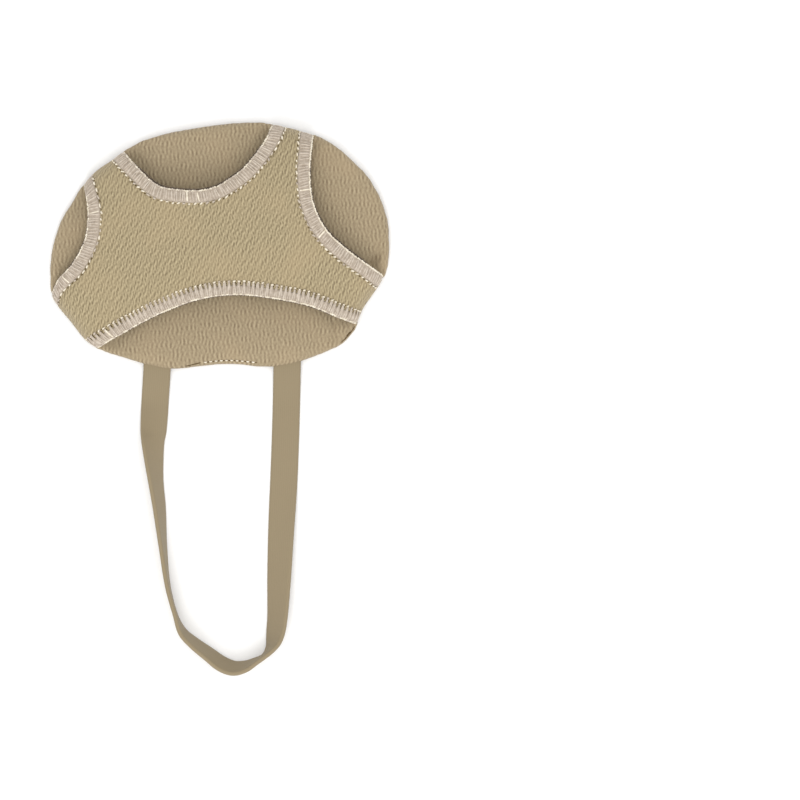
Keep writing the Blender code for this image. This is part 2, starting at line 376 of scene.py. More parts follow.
def band_place(turn, run):
    """A place on the middle of the band's cloth."""
    edge = rim_radius(turn)
    inset, height = band_profile(run)
    share = max((edge - inset) / (edge - BAND_INSET), 0.0)
    height += ARCH_RISE * (1 - min(share, 1.0) ** ARCH_POWER)
    radius = max(edge - inset, 0.0)
    return Vector((radius * math.cos(math.radians(turn)), radius * math.sin(math.radians(turn)), height))


def band_point(spot, offset=0.0):
    """The place over a plan spot, raised from the middle of the band's cloth along its normal."""
    turn = turn_of(spot)
    run = run_at(rim_radius(turn) - spot.length)
    step = 0.01
    around = band_place(turn + step, run) - band_place(turn - step, run)
    inward = band_place(turn, run + step) - band_place(turn, max(run - step, -1.0))
    return band_place(turn, run) + around.cross(inward).normalized() * offset


Station = namedtuple("Station", "place square rim_way hold")


class Edge:
    """A cutout's edge in plan, read by the real length along it."""

    def __init__(self, cut, steps=240):
        line = [rim_point(cut.start_turn, WRAP_INSET + EDGING_TUCK)]
        line += [Vector((x * PAD_WIDTH / 2, y * PAD_DEPTH / 2)) for x, y in cut.edge]
        line.append(rim_point(cut.end_turn, WRAP_INSET + EDGING_TUCK))
        marks = lengths_along(line)
        whole = marks[-1]
        self.stations = []
        for index in range(steps + 1):
            at = whole * (1 - math.cos(math.pi * index / steps)) / 2
            place = Vector(follow(marks, line, at))
            ahead = Vector(follow(marks, line, min(at + MM, whole)))
            behind = Vector(follow(marks, line, max(at - MM, 0.0)))
            tangent = (ahead - behind).normalized()
            rim_way = -1 if index < steps / 2 else 1
            hold = 1 - ease(min(at, whole - at) / EDGING_BLEND)
            self.stations.append(Station(place, Vector((-tangent.y, tangent.x)), rim_way, hold))
        self.marks = lengths_along([band_point(station.place) for station in self.stations], 3)
        self.length = self.marks[-1]

    def station(self, at):
        at = min(max(at, 0.0), self.length)
        index = min(max(bisect(self.marks, at) - 1, 0), len(self.marks) - 2)
        share = (at - self.marks[index]) / (self.marks[index + 1] - self.marks[index])
        first, second = self.stations[index], self.stations[index + 1]
        place = first.place.lerp(second.place, share)
        square = first.square.lerp(second.square, share).normalized()
        return Station(place, square, second.rim_way, first.hold + (second.hold - first.hold) * share)

    def spot(self, at, inward):
        """A plan spot inside the band: square to the edge, or along the rim where the edge meets it."""
        station = self.station(at)
        straight = station.place + station.square * inward
        turn = turn_of(station.place)
        depth = rim_radius(turn) - station.place.length
        turn += station.rim_way * math.degrees(inward / station.place.length)
        return straight.lerp(rim_point(turn, depth), station.hold)

    def point(self, at, inward, offset):
        return band_point(self.spot(at, inward), offset)


EDGES = {cut.name: Edge(cut) for cut in CUTS}


# Materials


def linear(hex_colour):
    """An sRGB hex colour as linear red, green, blue and alpha."""
    channels = [int(hex_colour[start : start + 2], 16) / 255 for start in (0, 2, 4)]
    plain = [((value + 0.055) / 1.055) ** 2.4 if value > 0.04 else value / 12.92 for value in channels]
    return (*plain, 1.0)


def add(tree, kind, feeds=(), **settings):
    """A node of that kind with its settings, fed by sockets or plain values."""
    node = tree.nodes.new(kind)
    for name, value in settings.items():
        setattr(node, name, value)
    for socket, value in dict(feeds).items():
        if isinstance(value, bpy.types.NodeSocket):
            tree.links.new(value, node.inputs[socket])
        else:
            node.inputs[socket].default_value = value
    return node.outputs[0]


def new_material(name, roughness, sheen=0.0, specular=0.5):
    """A material with its shader's own sockets set, as (material, tree, shader)."""
    made = bpy.data.materials.new(name)
    made.use_nodes = True
    shader = made.node_tree.nodes["Principled BSDF"]
    shader.inputs["Roughness"].default_value = roughness
    shader.inputs["IOR"].default_value = 1.5
    shader.inputs["Specular IOR Level"].default_value = specular
    shader.inputs["Sheen Weight"].default_value = sheen
    shader.inputs["Sheen Roughness"].default_value = 0.6
    return made, made.node_tree, shader


# Crossed waves of a knit: the spacing of its ridges, the way across them and their share of the relief.
# The last two of each knit are chosen: they break the ridges up into short stitches.
Wave = namedtuple("Wave", "spacing way share")
RIB_WAVES = (
    Wave(1.29, -9, 0.26),
    Wave(1.39, 12, 0.26),
    Wave(1.08, 2, 0.26),
    Wave(1.15, -25, 0.20),
    Wave(1.12, 26, 0.20),
)
STRETCH_WAVES = (
    Wave(1.67, -30, 0.32),
    Wave(0.80, -14, 0.32),
    Wave(1.00, -6, 0.28),
    Wave(0.71, 14, 0.24),
    Wave(1.20, -48, 0.24),
    Wave(0.95, 24, 0.18),
)


def knit_relief(tree, plan, waves, wander, unevenness):
    """Height of a knit whose ridges follow the waves, wander off line and come out uneven."""
    drift = add(tree, "ShaderNodeTexNoise", {"Vector": plan, "Scale": 0.22, "Detail": 3.0}).node
    feeds = {0: drift.outputs["Color"], 1: (0.5, 0.5, 0.5)}
    drift = add(tree, "ShaderNodeVectorMath", feeds, operation="SUBTRACT")
    feeds = {0: drift, 1: (wander, wander, 0.0), 2: plan}
    place = add(tree, "ShaderNodeVectorMath", feeds, operation="MULTIPLY_ADD")
    total = None
    for wave in waves:
        way = math.radians(wave.way)
        turns = 2 * math.pi / wave.spacing
        axis = (math.cos(way) * turns, math.sin(way) * turns, 0.0)
        phase = add(tree, "ShaderNodeVectorMath", {0: place, 1: axis}, operation="DOT_PRODUCT").node
        ridge = add(tree, "ShaderNodeMath", {0: phase.outputs["Value"]}, operation="COSINE")
        feeds = {0: ridge, 1: wave.share, 2: total or 0.0}
        total = add(tree, "ShaderNodeMath", feeds, operation="MULTIPLY_ADD")
    fading = add(tree, "ShaderNodeTexNoise", {"Vector": plan, "Scale": 0.35, "Detail": 2.0})
    feeds = {"Value": fading, "From Min": 0.3, "From Max": 0.6, "To Min": 0.55}
    fading = add(tree, "ShaderNodeMapRange", feeds)
    total = add(tree, "ShaderNodeMath", {0: total, 1: fading}, operation="MULTIPLY")
    upright = add(tree, "ShaderNodeMapping", {"Vector": plan, "Scale": (1.0, 0.65, 1.0)})
    yarn = add(tree, "ShaderNodeTexNoise", {"Vector": upright, "Scale": 2.0, "Detail": 2.0})
    swing = add(tree, "ShaderNodeMath", {0: yarn, 1: 0.5}, operation="SUBTRACT")
    return add(tree, "ShaderNodeMath", {0: swing, 1: unevenness, 2: total}, operation="MULTIPLY_ADD")


def knit_finish(tree, shader, plan, relief, colours, depth):
    """Colours a knit darker in its furrows than on its ridges, painted shade, in uneven patches, and
    raises it by its depth.
    """
    shaded_furrow, ridge, patch = (linear(colour) for colour in colours)
    tone = add(tree, "ShaderNodeMapRange", {"Value": relief, "From Min": -0.85, "From Max": 0.85})
    colour = add(tree, "ShaderNodeMix", {0: tone, 6: shaded_furrow, 7: ridge}, data_type="RGBA").node.outputs[2]
    patches = add(tree, "ShaderNodeTexNoise", {"Vector": plan, "Scale": 0.06, "Detail": 2.0})
    feeds = {"Value": patches, "From Min": 0.45, "From Max": 0.75, "To Max": 0.35}
    amount = add(tree, "ShaderNodeMapRange", feeds)
    colour = add(tree, "ShaderNodeMix", {0: amount, 6: colour, 7: patch}, data_type="RGBA").node.outputs[2]
    tree.links.new(colour, shader.inputs["Base Color"])
    bump = add(tree, "ShaderNodeBump", {"Height": relief, "Strength": 0.6, "Distance": depth * MM})
    tree.links.new(bump, shader.inputs["Normal"])


def ribbed_knit():
    """Rib-knitted polyester: upright ribs about 1.3 mm apart that break up into matt beads."""
    made, tree, shader = new_material("ribbed_polyester_knit", 0.92, sheen=0.1, specular=0.25)
    plan = add(tree, "ShaderNodeUVMap", uv_map="cloth")
    relief = knit_relief(tree, plan, RIB_WAVES, 1.0, 1.8)
    # Furrow colour darkened as painted shade, then ridge and patch colours
    knit_finish(tree, shader, plan, relief, ("7F6F57", "AC9C7F", "AA9577"), 0.11)
    return made


def stretch_knit():
    """Warp-knitted nylon and elastane: short slanting stitches in rows 1.67 mm apart, matt."""
    made, tree, shader = new_material("stretch_nylon_knit", 0.9, sheen=0.1, specular=0.25)
    plan = add(tree, "ShaderNodeUVMap", uv_map="cloth")
    relief = knit_relief(tree, plan, STRETCH_WAVES, 1.2, 2.0)
    # Furrow colour darkened as painted shade, then ridge and patch colours
    knit_finish(tree, shader, plan, relief, ("7B6D53", "B2A382", "AC9877"), 0.12)
    return made


def overlock_thread(name, dark, light):
    """Spun polyester sewing thread: a little shiny, with slight shade changes.

    Its fibres are too fine to show, so bundles of them are drawn 0.2 mm wide.
    """
    made, tree, shader = new_material(name, 0.7, sheen=0.15, specular=0.35)
    place = add(tree, "ShaderNodeTexCoord").node.outputs["Object"]
    shade = add(tree, "ShaderNodeTexNoise", {"Vector": place, "Scale": 0.9 / MM, "Detail": 2.0})
    tone = add(tree, "ShaderNodeMapRange", {"Value": shade, "From Min": 0.3, "From Max": 0.7})
    feeds = {0: tone, 6: linear(dark), 7: linear(light)}
    colour = add(tree, "ShaderNodeMix", feeds, data_type="RGBA").node.outputs[2]
    tree.links.new(colour, shader.inputs["Base Color"])
    fibre = add(tree, "ShaderNodeTexNoise", {"Vector": place, "Scale": 5.0 / MM, "Detail": 2.0})
    bump = add(tree, "ShaderNodeBump", {"Height": fibre, "Strength": 0.4, "Distance": 0.06 * MM})
    tree.links.new(bump, shader.inputs["Normal"])
    return made


def painted_gap_shade():
    """Painted shade of the gaps that the needle opens in the knit, where little light gets in."""
    made, tree, shader = new_material("needle_opened_knit", 1.0, specular=0.1)
    place = add(tree, "ShaderNodeTexCoord").node.outputs["Object"]
    shade = add(tree, "ShaderNodeTexNoise", {"Vector": place, "Scale": 1.5 / MM, "Detail": 1.0})
    feeds = {0: shade, 6: linear("3E3020"), 7: linear("7A684A")}
    colour = add(tree, "ShaderNodeMix", feeds, data_type="RGBA").node.outputs[2]
    tree.links.new(colour, shader.inputs["Base Color"])
    return made


def woven_elastic():
    """Woven elastic: covered rubber cords run along it under a tight, matt weft."""
    made, tree, shader = new_material("woven_polyester_elastic", 0.8, sheen=0.08, specular=0.3)
    plan = add(tree, "ShaderNodeUVMap", uv_map="cloth")
    parts = tree.nodes.new("ShaderNodeSeparateXYZ")
    tree.links.new(plan, parts.inputs[0])
    feeds = {0: parts.outputs[0], 1: 2 * math.pi / CORD_SPACING}
    cord = add(tree, "ShaderNodeMath", feeds, operation="MULTIPLY")
    cord = add(tree, "ShaderNodeMath", {0: cord}, operation="COSINE")
    feeds = {0: parts.outputs[1], 1: 2 * math.pi / WEFT_SPACING}
    weft = add(tree, "ShaderNodeMath", feeds, operation="MULTIPLY")
    weft = add(tree, "ShaderNodeMath", {0: weft}, operation="COSINE")
    relief = add(tree, "ShaderNodeMath", {0: weft, 1: 0.4, 2: cord}, operation="MULTIPLY_ADD")
    # Painted shade: the elastic is a little darker in the furrows between cords and weft than on their
    # tops
    tone = add(tree, "ShaderNodeMapRange", {"Value": relief, "From Min": -1.4, "From Max": 1.4})
    feeds = {0: tone, 6: linear("887A60"), 7: linear("8C7E64")}
    colour = add(tree, "ShaderNodeMix", feeds, data_type="RGBA").node.outputs[2]
    tree.links.new(colour, shader.inputs["Base Color"])
    bump = add(tree, "ShaderNodeBump", {"Height": relief, "Strength": 0.12, "Distance": 0.04 * MM})
    tree.links.new(bump, shader.inputs["Normal"])
    return made


def pale_floor():
    """Matt white seamless paper: its grain is drawn about 1 mm wide, coarser than real."""
    made, tree, shader = new_material("matt_white_paper", 0.95, specular=0.1)
    place = add(tree, "ShaderNodeTexCoord").node.outputs["Object"]
    grain = add(tree, "ShaderNodeTexNoise", {"Vector": place, "Scale": 900.0, "Detail": 2.0})
    feeds = {0: grain, 6: linear("F4F4F4"), 7: linear("F8F8F8")}
    colour = add(tree, "ShaderNodeMix", feeds, data_type="RGBA").node.outputs[2]
    tree.links.new(colour, shader.inputs["Base Color"])
    return made


# Making pieces


def grid_over(build, across, along, place, chart=None):
    """Grows a grid whose points lie where place puts their shares of the way across and along.

    chart gives each corner's place on the cloth map, in millimetres.
    """
    made = bmesh.ops.create_grid(build, x_segments=across, y_segments=along, size=1.0)
    if chart:
        layer = build.loops.layers.uv.new("cloth")
        for face in build.faces:
            for corner in face.loops:
                corner[layer].uv = chart((corner.vert.co.x + 1) / 2, (corner.vert.co.y + 1) / 2)
    for vert in made["verts"]:
        vert.co = Vector(place((vert.co.x + 1) / 2, (vert.co.y + 1) / 2)) * MM


def close_up(build):
    """Merges what meets, fills open ends and turns every face outwards."""
    bmesh.ops.remove_doubles(build, verts=build.verts, dist=0.002 * MM)
    bmesh.ops.dissolve_degenerate(build, edges=build.edges, dist=0.001 * MM)
    ends = [edge for edge in build.edges if edge.is_boundary]
    if ends:
        bmesh.ops.holes_fill(build, edges=ends, sides=0)
    bmesh.ops.recalc_face_normals(build, faces=build.faces)
    if build.calc_volume(signed=True) < 0:
        bmesh.ops.reverse_faces(build, faces=build.faces)


def piece(name, build, material):
    """A smooth-shaded object from a finished bmesh."""
    mesh = bpy.data.meshes.new(name)
    for face in build.faces:
        face.smooth = True
    build.to_mesh(mesh)
    build.free()
    mesh.materials.append(material)
    made = bpy.data.objects.new(name, mesh)
    bpy.context.scene.collection.objects.link(made)
    return made


def settle(made, slot, *nodes):
    """Puts a piece on the part's one body and hides the imported parts that it stands for; slot, the
    finish that it would take, is not used.
    """
    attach(made, "root")
    if nodes:
        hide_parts(*nodes)


def bake(made):
    """Applies every modifier on the piece."""
    graph = bpy.context.evaluated_depsgraph_get()
    graph.update()
    solved = bpy.data.meshes.new_from_object(made.evaluated_get(graph), depsgraph=graph)
    made.modifiers.clear()
    old = made.data
    made.data = solved
    bpy.data.meshes.remove(old)


def thread(build, points, radius=THREAD, sides=6, flat=0.75):
    """A closed run of thread through the points, flattened a little against what it lies on."""
    last = len(points) - 1

    def place(round_share, along_share):
        index = round(along_share * last)
        here, normal = points[index]
        ahead = points[min(index + 1, last)][0] - points[max(index - 1, 0)][0]
        side = normal.cross(ahead).normalized()
        angle = 2 * math.pi * round_share
        taper = 0.45 if index in (0, last) else 1.0
        return here + (side * math.cos(angle) + normal * math.sin(angle) * flat) * radius * taper

    grid_over(build, sides, last, place)


def cloth_map(made, where):
    """Lays a map in millimetres over the piece, from each point's place and its face's normal."""
    layer = made.data.uv_layers.new(name="cloth")
    for face in made.data.polygons:
        for index in face.loop_indices:
            point = made.data.vertices[made.data.loops[index].vertex_index].co / MM
            layer.data[index].uv = where(point, face.normal)


# The sole pad


def pad_rim(turn):
    """Rim thickness and inset: thinner and further in where a leg of the band is sewn round it."""
    tuck = LEG_TUCK * leg_press(turn, TUCK_BLEND, TUCK_BLEND)
    return RIM_THICKNESS - LEG_DENT * leg_press(turn), tuck - RIM_PUFF


# Creases of the pad's cover: place, way, half length, half width and depth
Crease = namedtuple("Crease", "across along way half_length half_width depth")
CREASES = (
    Crease(46.6, -4.6, 50, 2.6, 0.8, 1.5),
    Crease(48.3, -4.9, 60, 2.2, 0.9, -0.5),
    Crease(34.4, -24.0, 90, 3.6, 0.5, 0.6),
    Crease(36.6, -23.8, 90, 3.2, 1.4, -0.5),
    Crease(38.3, -26.7, 47, 3.6, 0.5, 0.7),
)


def crease_depth(x, y):
    depth = 0.0
    for crease in CREASES:
        way = math.radians(crease.way)
        away = Vector((x - crease.across, y - crease.along))
        along = away.dot(Vector((math.cos(way), math.sin(way)))) / crease.half_length
        side = away.dot(Vector((-math.sin(way), math.cos(way)))) / crease.half_width
        depth += crease.depth * math.exp(-(along**4) - side * side)
    return depth


def pad_place(round_share, profile_share):
    """From the middle of the flat underside out, round the rolled rim and in over the crowned top."""
    turn = 360 * round_share
    thickness, tuck = pad_rim(turn)
    roll = thickness / 2
    inner = rim_radius(turn) - tuck - roll
    if profile_share < 0.3:
        radius, height = inner * profile_share / 0.3, 0.0
    elif profile_share < 0.6:
        angle = math.pi * ((profile_share - 0.3) / 0.3 - 0.5)
        radius, height = inner + roll * math.cos(angle), roll * (1 + math.sin(angle))
    else:
        share = 1 - (profile_share - 0.6) / 0.4
        radius = inner * share
        height = thickness + (PAD_THICKNESS - thickness) * (1 - share**CROWN_POWER)
    return radius * math.cos(math.radians(turn)), radius * math.sin(math.radians(turn)), height


def swell(made):
    """Blows the pad's cover up like cloth over its filling, held at its underside and under the legs.

    Gives the longest way that any point moved, in millimetres.
    """
    held = made.vertex_groups.new(name="held")
    starts = [vert.co.copy() for vert in made.data.vertices]
    for vert in made.data.vertices:
        point = vert.co / MM
        turn = turn_of(point)
        from_rim = rim_radius(turn) - point.xy.length
        grip = ease(1 - (from_rim - 2.5) / 2.0) * leg_press(turn)
        grip = max(grip, ease((0.9 - point.z) / 0.6))
        held.add([vert.index], grip, "REPLACE")
    cloth = made.modifiers.new("cover", "CLOTH")
    cloth.settings.quality = 6
    cloth.settings.mass = 0.05
    cloth.settings.tension_stiffness = 8
    cloth.settings.compression_stiffness = 4
    cloth.settings.shear_stiffness = 4
    cloth.settings.bending_stiffness = 0.05
    cloth.settings.use_pressure = True
    cloth.settings.uniform_pressure_force = 4.0
    cloth.settings.shrink_min = -0.015
    cloth.settings.vertex_group_mass = "held"
    cloth.settings.effector_weights.gravity = 0.0
    cloth.collision_settings.use_collision = False
    cloth.point_cache.frame_start = 1
    cloth.point_cache.frame_end = SWELL_FRAMES
    scene = bpy.context.scene
    for step in range(1, SWELL_FRAMES + 1):
        scene.frame_set(step)
    bake(made)
    scene.frame_set(1)
    cap = SWELL_CAP * MM
    for vert, start in zip(made.data.vertices, starts):
        move = vert.co - start
        if move.length > 0:
            vert.co = start + move * (cap * math.tanh(move.length / cap) / move.length)
    return max((vert.co - start).length for vert, start in zip(made.data.vertices, starts)) / MM


def make_pad(material):
    build = bmesh.new()
    grid_over(build, 240, 60, pad_place)
    close_up(build)
    pad = piece("knit_covered_pad", build, material)
    remesh = pad.modifiers.new("even", "REMESH")
    remesh.mode = "VOXEL"
    remesh.voxel_size = PAD_VOXEL * MM
    bake(pad)
    print("pad cover moved by up to", round(swell(pad), 3), "mm")
    build = bmesh.new()
    build.from_mesh(pad.data)
    bmesh.ops.smooth_vert(
        build, verts=build.verts, factor=0.5, use_axis_x=True, use_axis_y=True, use_axis_z=True
    )
    for vert in build.verts:
        point = vert.co / MM
        if point.z > 1.0:
            puff = noise.fractal(point * 0.09, 1.0, 2.0, 3) * 0.10
            vert.co.z += (puff - crease_depth(point.x, point.y)) * MM * ease((point.z - 1.0) / 1.5)
        vert.co.z = max(vert.co.z, 0.0)
    for face in build.faces:
        face.smooth = True
    build.to_mesh(pad.data)
    build.free()
    pad.data.materials.clear()
    pad.data.materials.append(material)
    fine = pad.modifiers.new("fine", "SUBSURF")
    fine.levels = fine.render_levels = 1
    bake(pad)

    def where(point, normal):
        if normal.z < -0.3:
            return point.xy
        lean = math.acos(max(min(normal.z, 1.0), -1.0))
        if lean < 0.2:
            return point.xy
        return point.xy * (1 + RIM_THICKNESS / 2 * (lean - math.sin(lean)) / point.xy.length)

    cloth_map(pad, where)
    settle(pad, "ribbed_knit", "sole_pad")
    return pad


# The band and its edgings

# Yarns of the edgings: dense is darker as painted shade between the threads, bright is the pale needle
# thread and the painted highlight on the edge loops, holes is painted shade in the needle holes, and under
# is a painted contact shadow
Yarns = namedtuple("Yarns", "dense raised bright holes under")


def cutter(cut, set_back):
    """An upright prism from inside a cutout's edge to outside the rim."""
    edge = EDGES[cut.name]
    steps, outer_steps = 60, 14
    line = [edge.spot(edge.length * step / steps, set_back) for step in range(steps + 1)]
    first, last = turn_of(line[0]), turn_of(line[-1])
    sweep = (last - first) % 360
    line += [rim_point(last - sweep * step / outer_steps, -6.0) for step in range(outer_steps + 1)]
    build = bmesh.new()
    base = bmesh.ops.create_circle(build, segments=len(line), radius=1.0, cap_ends=True)["verts"]
    for vert, spot in zip(base, line):
        vert.co = Vector((spot.x, spot.y, -5.0)) * MM
    wall = bmesh.ops.extrude_face_region(build, geom=build.faces[:])["geom"]
    for item in wall:
        if isinstance(item, bmesh.types.BMVert):
            item.co.z = 25 * MM
    close_up(build)
    mesh = bpy.data.meshes.new("cutter")
    build.to_mesh(mesh)
    build.free()
    made = bpy.data.objects.new("cutter", mesh)
    bpy.context.scene.collection.objects.link(made)
    return made


def make_band(material):
    runs = [-1 + (math.pi / 2 + 1) * step / 26 for step in range(27)]
    inner = 34

    def place(round_share, out_share):
        turn = 360 * round_share
        ring = round(out_share * (inner + len(runs) - 1))
        if ring >= inner:
            return band_place(turn, runs[-1 - (ring - inner)])
        top = rim_radius(turn) - PROFILE_INSETS[-1]
        return band_place(turn, math.pi / 2 + top * (1 - ring / inner) / SHOULDER_RUN)

    build = bmesh.new()
    grid_over(build, 240, inner + len(runs) - 1, place)
    bmesh.ops.remove_doubles(build, verts=build.verts, dist=0.002 * MM)
    bmesh.ops.dissolve_degenerate(build, edges=build.edges, dist=0.001 * MM)
    bmesh.ops.recalc_face_normals(build, faces=build.faces)
    if sum(face.normal.z for face in build.faces) < 0:
        bmesh.ops.reverse_faces(build, faces=build.faces)
    for vert in build.verts:
        point = vert.co / MM
        rise = ease((point.z - 4.0) / 5.0)
        vert.co.z += noise.fractal(point * 0.06, 1.0, 2.0, 3) * 0.22 * rise * MM
    band = piece("stretch_knit_band", build, material)
    wall = band.modifiers.new("wall", "SOLIDIFY")
    wall.thickness = BAND_CLOTH * MM
    wall.offset = 0.0
    cutters = [cutter(cut, BAND_SET_BACK) for cut in CUTS]
    for tool in cutters:
        cut = band.modifiers.new("cut", "BOOLEAN")
        cut.operation = "DIFFERENCE"
        cut.solver = "EXACT"
        cut.object = tool
    bake(band)
    for tool in cutters:
        bpy.data.objects.remove(tool, do_unlink=True)
    for face in band.data.polygons:
        face.use_smooth = True
    band.data.set_sharp_from_angle(angle=math.radians(50))

    def where(point, normal):
        inset = rim_radius(turn_of(point)) - point.xy.length
        return point.xy * (1 + unrolled(inset) / max(point.xy.length, 1.0))

    cloth_map(band, where)
    settle(band, "stretch_knit", "top_band")
    return band


def lie(edge, at, inward, offset):
    """A place on an edging and the way out from its surface there."""
    here = edge.point(at, inward, offset)
    out = edge.point(at, inward, offset + 0.2) - edge.point(at, inward, offset - 0.2)
    return here, out.normalized()


def over_edge(edge, from_at, to_at, reach, lift, under=1.8):
    """Points of a thread from the needle row, over the top and round the cut edge to the underside."""
    route = [(reach, BAND_CLOTH / 2 - 0.05), (reach - 0.35, lift * 0.8), (reach * 0.6, lift)]
    route += [(0.9, lift), (0.28, lift * 0.72), (-0.04, 0.0), (0.28, -lift * 0.72)]
    route += [(0.9, -lift), (under, -lift), (under + 0.4, -0.4)]
    whole = reach + 1.0
    travelled = 0.0
    points = []
    for index, (inward, offset) in enumerate(route):
        if index:
            travelled += math.dist(route[index - 1], route[index])
        at = from_at + (to_at - from_at) * min(travelled / whole, 1.0)
        here = edge.point(at, inward, offset)
        points.append((here, (here - edge.point(at, max(inward, 0.7), 0.0)).normalized()))
    return points


def make_ribbon(cut, edge, material):
    """The dense overlock threads as one closed wall, wrapped round the cloth's cut edge, darker than the
    raised threads as painted shade between them.
    """
    width, half = cut.ribbon, EDGING_HALF
    section = [(width, 0.42), (width - 0.35, half - 0.05), (width * 0.6, half), (1.3, half)]
    for angle in range(80, -81, -20):
        turn = math.radians(angle)
        section.append((EDGING_NOSE * (1 - math.cos(turn)), half * math.sin(turn)))
    section += [(1.3, -half), (2.6, -half), (3.0, -0.42), (2.9, -0.28), (1.2, -0.28)]
    section += [(0.4, -0.2), (0.4, 0.2), (1.2, 0.28), (width - 0.1, 0.28)]

    def place(round_share, along_share):
        inward, offset = section[round(round_share * len(section)) % len(section)]
        return edge.point(edge.length * along_share, inward, offset)

    build = bmesh.new()
    grid_over(build, len(section), round(edge.length / RIBBON_STEP), place)
    close_up(build)
    return piece(cut.name + "_ribbon", build, material)


def add_painted_shadow_line(build, edge):
    """A dark line of painted contact shadow under the cut edge, widest where it faces the toes."""
    points = []
    steps = round(edge.length / UNDER_STEP)
    for step in range(1, steps):
        at = edge.length * step / steps
        station = edge.station(at)
        outward = 0.16 + 0.36 * max(-station.square.y, 0.0) + 0.12 * abs(station.square.x)
        here = edge.point(at, 0.25 * station.hold - outward * (1 - station.hold), -EDGING_HALF)
        points.append((here, (edge.point(at, 0.5, 0.0) - here).normalized()))
    thread(build, points, SHADOW_LINE_RADIUS, flat=1.0)


def add_cross_threads(edge, at, pitch, fanned, dice, pick):
    """Two threads of one stitch, side by side over the cut edge or fanned out from the needle row."""
    for side in (-1, 1):
        slip = pitch * dice.uniform(-0.10, 0.10)
        if fanned:
            from_at, to_at = at + side * pitch * 0.07, at + side * pitch * 0.27
            reach = NEEDLE_ROW - 0.1
        else:
            lean = pitch * dice.uniform(0.0, 0.6)
            from_at, to_at = at + side * pitch * 0.25, at + side * pitch * 0.25 + lean
            reach = NEEDLE_ROW - 0.45
        reach += dice.uniform(-0.15, 0.15)
        lift = EDGING_HALF + dice.uniform(-0.05, 0.12)
        points = over_edge(edge, from_at + slip, to_at - slip, reach, lift)
        thread(pick(0.04), points, THREAD * dice.uniform(0.75, 1.2))


# Points of a needle stitch: the share of the way from its middle, and the lift
STITCH_ARC = ((-1, 0.30), (-0.6, 0.58), (0, 0.66), (0.6, 0.58), (1, 0.30))

# Needle holes of one stitch, dark beads of painted shade: share of the pitch past it, half length along,
# and place and rise inward
Hole = namedtuple("Hole", "past half_length inward rise")
SLANTED_HOLES = (Hole(0.5, 0.26, 0.15, 0.10), Hole(0.05, 0.14, -0.55, 0.30))
FANNED_HOLES = (Hole(0.5, 0.10, 0.05, 0.12), Hole(0.32, -0.10, -0.60, 0.30))


def add_needle_stitch(edge, at, pitch, dice, pick):
    """The needle thread, which shows as one short stitch between two holes."""
    run = pitch * dice.uniform(0.18, 0.33)
    tilt = dice.uniform(-0.10, 0.35)
    reach = NEEDLE_ROW + dice.uniform(-0.12, 0.12)
    points = []
    for share, lift in STITCH_ARC:
        points.append(lie(edge, at + run * share, reach + tilt * share, lift))
    thread(pick(0.75), points, dice.uniform(0.21, 0.29), flat=0.9)


def add_holes(build, edge, at, pitch, holes, dice):
    for hole in holes:
        middle = at + pitch * hole.past
        size = dice.uniform(0.6, 1.15)
        points = []
        for share in (-size, -0.4 * size, 0.4 * size, size):
            along = middle + hole.half_length * share
            inward = NEEDLE_ROW + hole.inward + hole.rise * share
            points.append(lie(edge, along, inward, BAND_CLOTH / 2 + 0.02))
        thread(build, points, 0.19 * size, flat=0.45)


def add_edge_loops(edge, at, pitch, shine, dice, pick):
    """Two loops of the chain that runs along the cut edge; the shine share of them take the bright yarn as
    painted highlight.
    """
    for half in (0.0, 0.5):
        spot = at + pitch * (half + dice.uniform(-0.08, 0.08))
        bulge = dice.uniform(0.22, 0.42)
        chain = []
        for share in (-1, -0.5, 0, 0.5, 1):
            swing = 1 - share * share
            along = spot + share * pitch * 0.26
            chain.append(lie(edge, along, 0.32 - bulge * swing, EDGING_HALF - 0.22 * swing))
        thread(pick(shine), chain, THREAD, flat=0.9)


def make_edging(cut, yarns):
    """Ribbon of dense thread, the threads across it, the needle row, its holes and the edge chain."""
    edge = EDGES[cut.name]
    dice = random.Random(cut.name)
    ribbon = make_ribbon(cut, edge, yarns.dense)
    settle(ribbon, "overlock_thread", cut.name)
    builds = {name: bmesh.new() for name in ("raised", "bright", "holes", "under")}
    # A dark line of painted contact shadow under the cut edge
    add_painted_shadow_line(builds["under"], edge)

    def pick(shine):
        return builds["bright" if dice.random() < shine else "raised"]

    fanned = cut.ribbon < FANNED_BELOW
    holes = FANNED_HOLES if fanned else SLANTED_HOLES
    stitches = round(edge.length / cut.stitch)
    pitch = edge.length / stitches
    for index in range(stitches):
        at = (index + 0.5 + dice.uniform(-0.08, 0.08)) * pitch
        add_cross_threads(edge, at, pitch, fanned, dice, pick)
        add_needle_stitch(edge, at, pitch, dice, pick)
        add_holes(builds["holes"], edge, at, pitch, holes, dice)
        add_edge_loops(edge, at, pitch, cut.shine, dice, pick)
    made = [ribbon]
    for name, build in builds.items():
        close_up(build)
        made.append(piece(f"{cut.name}_{name}_thread", build, getattr(yarns, name)))
        settle(made[-1], "overlock_thread")
    return made


# The closing seam in the pad's rear rim, where the cover was sewn shut: starts and ends in mm of X
SEAM_STITCHES = (-4.2, 11.2)
SEAM_TAIL = ((-9.9, -7.9), (-8.3, -6.6), (-7.3, -5.6))
SEAM_PITCH = 1.62
SEAM_INSET = 1.55
# A y of the rear rim, to turn an X into a way from the pad's middle
SEAM_ALONG = -35.5
# Where the rim's seam lies open at the right, dark lines of painted shade: from turn, to turn, inset and
# width
Opened = namedtuple("Opened", "start end inset width")
OPENED_RIM = (Opened(-38.6, -30.4, 0.45, 0.16), Opened(-35.4, -33.4, 0.6, 0.3))


